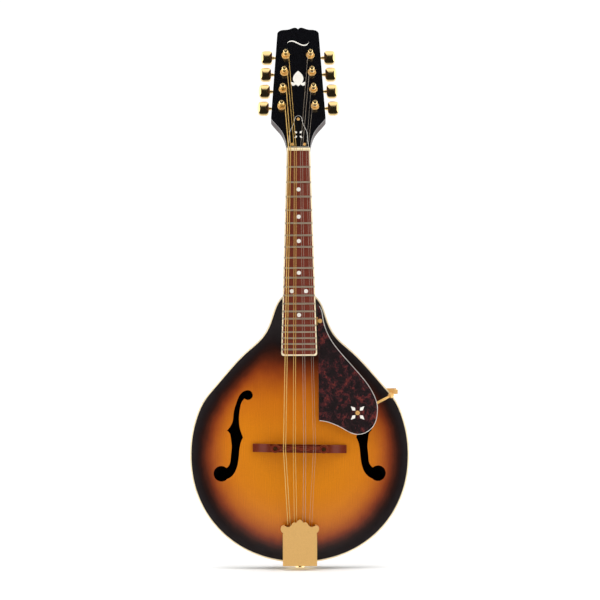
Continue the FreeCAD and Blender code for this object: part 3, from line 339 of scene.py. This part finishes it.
def plastic(name, colour, roughness, coat=0.0, mottle="#ffffff"):
    """Moulded or rolled plastic: an even colour with a faint cloud, and softened edges. A
    full coat is a polished lacquer, which hides the gloss of what is under it."""
    tree, surface, coords = start(name, Roughness=roughness, Coat_Weight=coat,
                                  Coat_Roughness=0.04, Specular_IOR_Level=0.5 - 0.4 * coat)
    cloud = add(tree, "TexNoise", {"Vector": stretched(tree, coords, 9, 9, 9), "Detail": 3.0})
    tint = blend_colours(tree, cloud, linear(colour), linear(mottle), "MULTIPLY")
    paint(tree, surface, Base_Color=tint)
    handled = add(tree, "TexNoise", {"Vector": stretched(tree, coords, 22, 22, 22)})
    dull = add(tree, "Math", {0: handled, 1: 0.12, 2: roughness - 0.05}, operation="MULTIPLY_ADD")
    soft = add(tree, "Bevel", {"Radius": 0.0004}, samples=4)
    paint(tree, surface, Roughness=dull, Normal=soft)
    return finish_of(tree)


def tortoise():
    """Celluloid made to look like tortoise shell: red-brown flakes deep in a nearly black
    sheet, under a polished face."""
    tree, surface, coords = start("tortoise_celluloid", Roughness=0.22, Coat_Weight=1.0,
                                  Specular_IOR_Level=0.1, Coat_Roughness=0.03)
    flake = add(tree, "TexNoise", {"Vector": stretched(tree, coords, 9, 9, 12), "Detail": 5.0,
                                   "Roughness": 0.62, "Distortion": 1.4})
    patch = add(tree, "TexNoise", {"Vector": stretched(tree, coords, 34, 34, 40), "Detail": 2.0})
    both = add(tree, "Math", {0: flake, 1: patch}, operation="MULTIPLY")
    colour = add(tree, "ValToRGB", {0: both}, stops=(
        (0.20, "#1e1819"), (0.27, "#2d1d1f"), (0.32, "#4b2224"), (0.40, "#6c3029")))
    paint(tree, surface, Base_Color=colour)
    return finish_of(tree)


def metal(name, colour, roughness, smudge=0.10, grain=None):
    """Plated or drawn metal: an even colour, with roughness that varies a little where it is
    handled, and softened edges. A grain is (x, y, z) millimetres of a brushed pattern."""
    tree, surface, coords = start(name, colour, Metallic=1.0, Roughness=roughness)
    cloud = add(tree, "TexNoise", {"Vector": stretched(tree, coords, 7, 7, 7), "Detail": 3.0})
    dull = add(tree, "Math", {0: cloud, 1: smudge, 2: roughness - smudge / 2},
               operation="MULTIPLY_ADD")
    worn = blend_colours(tree, cloud, linear(colour), linear("#f2eee6"), "MULTIPLY")
    soft = add(tree, "Bevel", {"Radius": 0.0003}, samples=4)
    paint(tree, surface, Roughness=dull, Base_Color=worn)
    if grain:
        brushed = add(tree, "TexNoise", {"Vector": stretched(tree, coords, *grain),
                                         "Detail": 2.0})
        soft = add(tree, "Bump", {"Height": brushed, "Strength": 0.12, "Distance": 0.0001,
                                  "Normal": soft})
    paint(tree, surface, Normal=soft)
    return finish_of(tree)


def wound_bronze():
    """Bronze wire wound on a steel core. The turns are drawn 0.9 mm apart, coarser than the
    real 0.3 mm, so that they show."""
    tree, surface, coords = start("wound_phosphor_bronze", "#e8bd68", Metallic=1.0,
                                  Roughness=0.34)
    turns = add(tree, "TexWave", {"Vector": coords, "Scale": WAVE_UNIT / DRAWN_TURN,
                                  "Distortion": 0.0}, bands_direction="Z")
    # The colour darkens between the turns: painted shade in the grooves, laid over the bump that
    # shapes them.
    colour = add(tree, "ValToRGB", {0: turns.outputs["Fac"]},
                 stops=((0.1, "#9a7438"), (0.6, "#e2bc70")))
    bump = add(tree, "Bump", {"Height": turns.outputs["Fac"], "Strength": 0.5,
                              "Distance": 0.0001})
    paint(tree, surface, Base_Color=colour, Normal=bump)
    return finish_of(tree)


def pearl():
    """Mother of pearl, ground flat and polished: pale, with soft bands of cool and warm
    light a few millimetres apart."""
    tree, surface, coords = start("mother_of_pearl", Roughness=0.18, Coat_Weight=0.6,
                                  Coat_Roughness=0.05)
    band = add(tree, "TexNoise", {"Vector": stretched(tree, coords, 4, 4, 3), "Detail": 4.0,
                                  "Distortion": 1.2})
    colour = add(tree, "ValToRGB", {0: band}, stops=(
        (0.30, "#c9cfc8"), (0.45, "#eceadf"), (0.55, "#e2d9d2"), (0.70, "#f4f2ea")))
    paint(tree, surface, Base_Color=colour)
    return finish_of(tree)


# Polished gold plate mirrors the room on knobs and posts. The satin plate of the tail cover
# and of the small fittings takes light from all round and looks paler.
GOLD = metal("gold_plate_polished", "#ecce90", 0.16)
SATIN_GOLD = metal("gold_plate_satin", "#ffdc98", 0.80, 0.06, grain=(0.4, 0.4, 30))
# Plain strings are drawn steel, a little dulled by use, and frets are crowned nickel silver.
STEEL = metal("drawn_steel", "#a79c8e", 0.30)
NICKEL = metal("nickel_silver_fret_wire", "#c8b9a4", 0.34)
BRASS = metal("turned_brass", "#c9935a", 0.30, grain=(8, 0.3, 8))
BRONZE = wound_bronze()
# Bindings, nut and covers: celluloid and bone, rubbed smooth, and a deep black lacquer.
CREAM = plastic("cream_celluloid_binding", "#f6ead0", 0.30, 0.4, "#efe2c4")
BLACK_PLASTIC = plastic("black_celluloid", "#0b0a0b", 0.16, 0.6)
WHITE_PLASTIC = plastic("white_celluloid", "#f1eee6", 0.30, 0.4)
BONE = plastic("polished_bone", "#f0e2c2", 0.34, 0.2, "#e2d2ac")
BLACK_LACQUER = plastic("black_lacquer_on_maple", "#08080b", 0.20, 1.0)
# Open-grained dark woods are oiled. The neck is stained nearly black and lightly lacquered.
FRETBOARD_WOOD = timber("oiled_rosewood_fretboard", "#4e1c14", "#843c2b", "Z", 0.46, 0.10)
BRIDGE_WOOD = timber("oiled_rosewood_bridge", "#521607", "#7c2f15", "X", 0.42, 0.15)
NECK_WOOD = timber("stained_and_lacquered_mahogany", "#1d0b08", "#3a150d", "Z", 0.40, 0.15)
BARE_WOOD = timber("bare_spruce_and_willow", "#8a683c", "#b48c58", "Z", 0.75, 0.0)
SPRUCE = sunburst_spruce()
MAPLE = sunburst_maple()
PEARL = pearl()
TORTOISE = tortoise()

FINISHES = {
    "sunburst_spruce": SPRUCE, "sunburst_maple": MAPLE, "cream_binding": CREAM,
    "plain_wood": BARE_WOOD, "stained_neck": NECK_WOOD, "black_plastic": BLACK_PLASTIC,
    "black_lacquer": BLACK_LACQUER, "steel": STEEL, "brass": BRASS, "bone": BONE,
    "rosewood": FRETBOARD_WOOD, "fret_wire": NICKEL, "pearl": PEARL, "gold": GOLD,
    "pale_gold": SATIN_GOLD, "tortoise": TORTOISE, "white_ply": WHITE_PLASTIC,
    "bronze_string": BRONZE, "plain_string": STEEL,
}

# Small gold fittings that are satin, like the tail cover
SATIN_NODES = ("pickguard_screws", "truss_cover_screws", "pickguard_bracket", "tuner_bushings")

for name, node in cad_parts.items():
    finish = FINISHES[node.material_slots[0].material.name.split(".")[0]]
    if name.startswith("bridge_") and finish == FRETBOARD_WOOD:
        finish = BRIDGE_WOOD
    if name in SATIN_NODES:
        finish = SATIN_GOLD
    for place in node.material_slots:
        place.material = finish


# ---------------------------------------------------------------- surfaces

def on_head(points):
    """Points in the headstock's own frame, x, depth and distance up the face, as points of
    the instrument, in metres: a turn by the headstock's lean, then its offset."""
    x, depth, along = np.moveaxis(np.asarray(points, float), -1, 0)
    y = HEAD_DROP + depth * math.cos(HEAD_LEAN) + along * math.sin(HEAD_LEAN)
    z = NUT_THICK - depth * math.sin(HEAD_LEAN) + along * math.cos(HEAD_LEAN)
    return np.stack([x, y, z], -1) * MM


def on_board(x, depth, along):
    """A point of the fretboard's leaning frame, which the pickguard shares, as a point of
    the instrument, in metres: a turn about X by the board's lean."""
    lean_y, lean_z = math.cos(BOARD_LEAN), math.sin(BOARD_LEAN)
    return np.array([x, depth * lean_y + along * lean_z, along * lean_y - depth * lean_z]) * MM


def swept(path, side, radius, around=12):
    """Rings round a path: each is its centre, plus the radius times the cosine of an angle
    along the side direction, plus the radius times its sine along the direction square to
    the side and to the path. Returns a (rings, around, 3) array."""
    tangent = np.gradient(path, axis=0)
    tangent /= np.linalg.norm(tangent, axis=1)[:, None]
    up = np.cross(tangent, side)
    up /= np.linalg.norm(up, axis=1)[:, None]
    out = np.cross(up, tangent)
    angle = np.linspace(0, 2 * np.pi, around, endpoint=False)[None, :, None]
    ring = np.cos(angle) * out[:, None, :] + np.sin(angle) * up[:, None, :]
    return path[:, None, :] + np.broadcast_to(radius, len(path))[:, None, None] * ring


def closed_tube(rings):
    """Vertices and faces of a tube: four-sided faces between neighbouring rings, and a
    many-sided face at each end. Numbering runs round each ring in turn."""
    rows, around, _ = rings.shape
    index = np.arange(rows * around).reshape(rows, around)
    after = np.roll(index, -1, axis=1)
    sides = np.stack([index[:-1], after[:-1], after[1:], index[1:]], -1).reshape(-1, 4)
    faces = sides.tolist() + [index[0][::-1].tolist(), index[-1].tolist()]
    return rings.reshape(-1, 3), faces


def piece(name, solids, finish, body=None):
    """One object from several closed solids, each vertices and faces. Its faces are turned
    outwards if the volume that they enclose comes out negative."""
    vertices, faces, offset = [], [], 0
    for points, polygons in solids:
        vertices.append(points)
        faces += [[offset + i for i in polygon] for polygon in polygons]
        offset += len(points)
    mesh = bpy.data.meshes.new(name)
    mesh.from_pydata(np.concatenate(vertices).tolist(), [], faces)
    mesh.calc_loop_triangles()
    corners = np.empty(len(mesh.loop_triangles) * 3, np.int32)
    mesh.loop_triangles.foreach_get("vertices", corners)
    a, b, c = np.moveaxis(np.concatenate(vertices)[corners.reshape(-1, 3)], 1, 0)
    if np.einsum("ij,ij->", a, np.cross(b, c)) < 0:
        mesh.flip_normals()
    mesh.polygons.foreach_set("use_smooth", np.ones(len(mesh.polygons), bool))
    mesh.update()
    mesh.set_sharp_from_angle(angle=math.radians(40))
    mesh.materials.append(finish)
    made = bpy.data.objects.new(name, mesh)
    bpy.context.scene.collection.objects.link(made)
    if body:
        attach(made, body)
    return made


# ---------------------------------------------------------------- strings

def crown_z(x):
    """Where a string crosses the saddle: the bridge's line, set back for its pair and
    turned by the bridge's slant."""
    step = next(s for low, high, s in CROWN_STEPS if low <= x < high)
    return BRIDGE_Z - step - x * BRIDGE_SLANT


def string_corners(string):
    """Post, nut, saddle and hook: the four points that a string is stretched over."""
    _, radius, x_nut, x_bridge, x_tail, side, row = string
    post = side * (POST_HALF_FIRST + POST_HALF_STEP * row - (WAIST_R + 3 * radius + 0.02))
    start_point = on_head((post, WINDING_DEPTH, POST_FIRST + POST_PITCH * row))
    rest = np.array([(x_nut, STRING_NUT_Y, NUT_THICK / 2),
                     (x_bridge, SADDLE_TOP - radius - CROWN_GAP, crown_z(x_bridge)),
                     (x_tail, *HOOK)]) * MM
    return np.vstack([start_point, rest])


def wire(first, last, radius, count=40):
    """A taut wire: evenly spaced points on a straight line, thinned over its last radius
    at each end to a rounded tip."""
    length = np.linalg.norm(last - first)
    tip = radius * np.array([-1.0, -0.9, -0.6, 0.0])
    reach = np.concatenate([tip, np.linspace(0, length, count)[1:-1], length - tip[::-1]])
    beyond = np.clip(np.maximum(-reach, reach - length) / radius, 0, 0.97)
    path = first + (last - first) / length * reach[:, None]
    return closed_tube(swept(path, np.array([1.0, 0, 0]), radius * np.sqrt(1 - beyond ** 2)))


def winding(string):
    """The turns of a string round its post: a helix whose radius is the post's waist and
    seven eighths of a wire's thickness. It is eight radii tall, or 2.4 mm if that is more,
    and its turns lie just clear of each other."""
    _, radius, _, _, _, side, row = string
    height = max(2.4, 8 * radius) - 2 * radius
    turns = height / (2.1 * radius)
    angle = np.linspace(0, 2 * np.pi * turns, int(28 * turns))
    reach = WAIST_R + 1.75 * radius
    x = side * (POST_HALF_FIRST + POST_HALF_STEP * row) + reach * np.cos(angle)
    z = POST_FIRST + POST_PITCH * row + reach * np.sin(angle)
    depth = WINDING_DEPTH - height / 2 + height * angle / angle[-1]
    path = on_head(np.stack([x, depth, z], -1))
    axis = on_head((0, 1, 0)) - on_head((0, 0, 0))
    return closed_tube(swept(path, axis / np.linalg.norm(axis), radius * MM, 8))


for pair in "gdae":
    node = "string_pair_" + pair
    finish, slot = (BRONZE, "bronze_string") if pair in "gd" else (STEEL, "plain_string")
    runs = {"head": [], "open": [], "tail": []}
    for string in (s for s in STRINGS if s[0] == pair):
        corners = string_corners(string)
        for run, (first, last) in zip(runs, zip(corners, corners[1:])):
            runs[run].append(wire(first, last, string[1] * MM))
        word = "bass" if string[5] < 0 else "treble"
        piece(f"winding_{word}_{string[6] + 1}", [winding(string)], finish,
              f"tuner_post_{word}_{string[6] + 1}")
    pieces = {run: piece(f"strings_{pair}_{run}", solids, finish)
              for run, solids in runs.items()}
    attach(pieces["head"], "instrument")
    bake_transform(pieces["open"])
    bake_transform(pieces["tail"])
    for run in pieces.values():
        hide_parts(node)


# ---------------------------------------------------------------- ornaments

def petal(centre, lean, angle, length):
    """A thin kite of inlay, laid on a surface that leans back. Its blunt end lies a third of
    its length from the centre and its tip points away at an angle. It stands 0.1 mm proud."""
    out = np.array([0.0, -math.cos(lean), math.sin(lean)])
    across = np.array([1.0, 0.0, 0.0])
    up = np.cross(out, across)
    along = math.cos(angle) * across + math.sin(angle) * up
    square = np.cross(out, along)
    flat = [along * 0.33, along * 0.58 + square * 0.2, along, along * 0.58 - square * 0.2]
    corners = [centre + (part * length + out * rise) * MM for rise in (-0.2, 0.1)
               for part in flat]
    faces = [[3, 2, 1, 0], [4, 5, 6, 7]]
    faces += [[i, (i + 1) % 4, 4 + (i + 1) % 4, 4 + i] for i in range(4)]
    return np.array(corners), faces


def rosette(name, centre, lean, length):
    """Four pearl petals round a point, let into the surface there."""
    petals = [petal(centre, lean, math.radians(turn), length) for turn in (45, 135, 225, 315)]
    piece(name, petals, PEARL, "instrument")


rosette("pickguard_rosette", on_board(*GUARD_SCREW), BOARD_LEAN, 11.5)
rosette("truss_cover_rosette", on_head((0, COVER_FACE, 17.0)), HEAD_LEAN, 7.0)


# ---------------------------------------------------------------- studio

def stage_floor():
    """A wide flat disc that the instrument stands on: rings of points whose radius grows
    about threefold from each to the next."""
    around, level = 96, CAD_LOW[2]
    angle = np.linspace(0, 2 * np.pi, around, endpoint=False)
    radius = np.array([0.05, 0.4, 1.2, 3.0, 9.0])[:, None]
    rings = (len(radius), around)
    ring = np.stack([radius * np.cos(angle), radius * np.sin(angle), np.full(rings, level)], -1)
    index = np.arange(ring[..., 0].size).reshape(rings)
    after = np.roll(index, -1, axis=1)
    faces = np.stack([index[:-1], index[1:], after[1:], after[:-1]], -1).reshape(-1, 4)
    mesh = bpy.data.meshes.new("floor")
    mesh.from_pydata(ring.reshape(-1, 3).tolist(), [], faces.tolist() + [index[0].tolist()])
    tree, _, _ = start("matt_white_floor", "#f4f4f4", Roughness=0.6)
    mesh.materials.append(finish_of(tree))
    floor = bpy.data.objects.new("floor", mesh)
    floor.visible_glossy = False
    bpy.context.scene.collection.objects.link(floor)


def studio_light():
    """A white tent with a dark opening in front. The opening is what the flat parts of the
    face and of the headstock mirror, so black stays black there, and only slopes towards
    the edges and rounded metal pick up the white round it."""
    world = bpy.data.worlds.new("studio")
    bpy.context.scene.world = world
    world.use_nodes = True
    tree = world.node_tree
    tree.nodes.clear()
    parts = add(tree, "SeparateXYZ", {0: add(tree, "TexCoord").outputs["Generated"]})
    sideways = add(tree, "Math", {0: parts}, operation="ABSOLUTE")
    # direction's part, where a wall begins and where it is full, and its strength
    edges = ((sideways, 0.44, 0.80, 2.6), (parts.outputs[2], 0.76, 0.94, 1.5),
             (parts.outputs[2], -0.15, -0.60, 0.5), (parts.outputs[2], -0.50, -0.90, 1.5),
             (parts.outputs[1], -0.10, 0.20, 1.2))
    tent = 0.02                 # what comes out of the opening
    for place, inside, outside, power in edges:
        wall = add(tree, "MapRange", {0: place, 1: inside, 2: outside, 3: 0.0, 4: power},
                   interpolation_type="SMOOTHSTEP")
        tent = add(tree, "Math", {0: wall, 1: tent}, operation="MAXIMUM")
    seen = add(tree, "LightPath").outputs["Is Camera Ray"]
    strength = add(tree, "Mix", {0: seen, 2: tent, 3: 1.05})
    light = add(tree, "Background", {"Color": linear("#ffffff"), "Strength": strength})
    add(tree, "OutputWorld", {"Surface": light})
    lamp = bpy.data.lights.new("softbox", "AREA")
    lamp.shape, lamp.size, lamp.size_y, lamp.energy = "RECTANGLE", 2.4, 2.0, 27.0
    box = bpy.data.objects.new("softbox", lamp)
    box.location = (0.0, -0.9, 1.7)
    box.rotation_euler = (math.radians(24), 0, 0)
    box.visible_glossy = False
    bpy.context.scene.collection.objects.link(box)


def camera():
    """Level with the middle of the instrument, square to the strings' plane."""
    data = bpy.data.cameras.new("camera")
    data.lens, data.sensor_width = FOCAL_LENGTH, 36.0
    data.clip_start, data.clip_end = 0.05, 60.0
    made = bpy.data.objects.new("camera", data)
    made.location = CAMERA_PLACE
    made.rotation_euler = (math.radians(90), math.radians(CAMERA_ROLL), 0)
    bpy.context.scene.collection.objects.link(made)
    bpy.context.scene.camera = made


stage_floor()
studio_light()
camera()
bpy.context.scene.view_settings.view_transform = "Standard"
